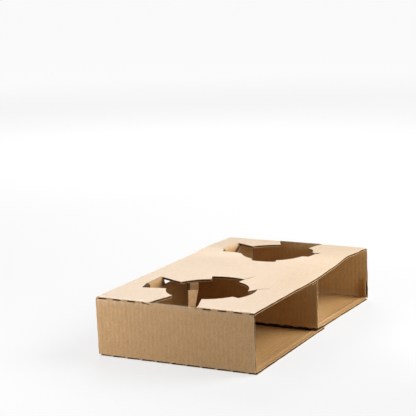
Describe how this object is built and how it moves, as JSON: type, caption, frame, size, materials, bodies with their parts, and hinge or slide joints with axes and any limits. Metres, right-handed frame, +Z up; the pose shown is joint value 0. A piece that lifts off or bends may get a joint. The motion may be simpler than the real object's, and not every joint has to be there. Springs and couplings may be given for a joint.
{
  "type": "cardboard cup carrier",
  "caption": "Folded corrugated board carrier with petalled cup holes over open bays, a central divider and perforated fold lines.",
  "frame": {"origin": "middle of the base, at the table", "axes": "+X along the length towards the far end wall, +Y across the width towards the back walls, +Z up"},
  "size_m": [0.2116, 0.115, 0.0427],
  "materials": {
    "kraft_board": "matte"
  },
  "bodies": {
    "root": {"carrier": "kraft_board"}
  },
  "joints": []
}
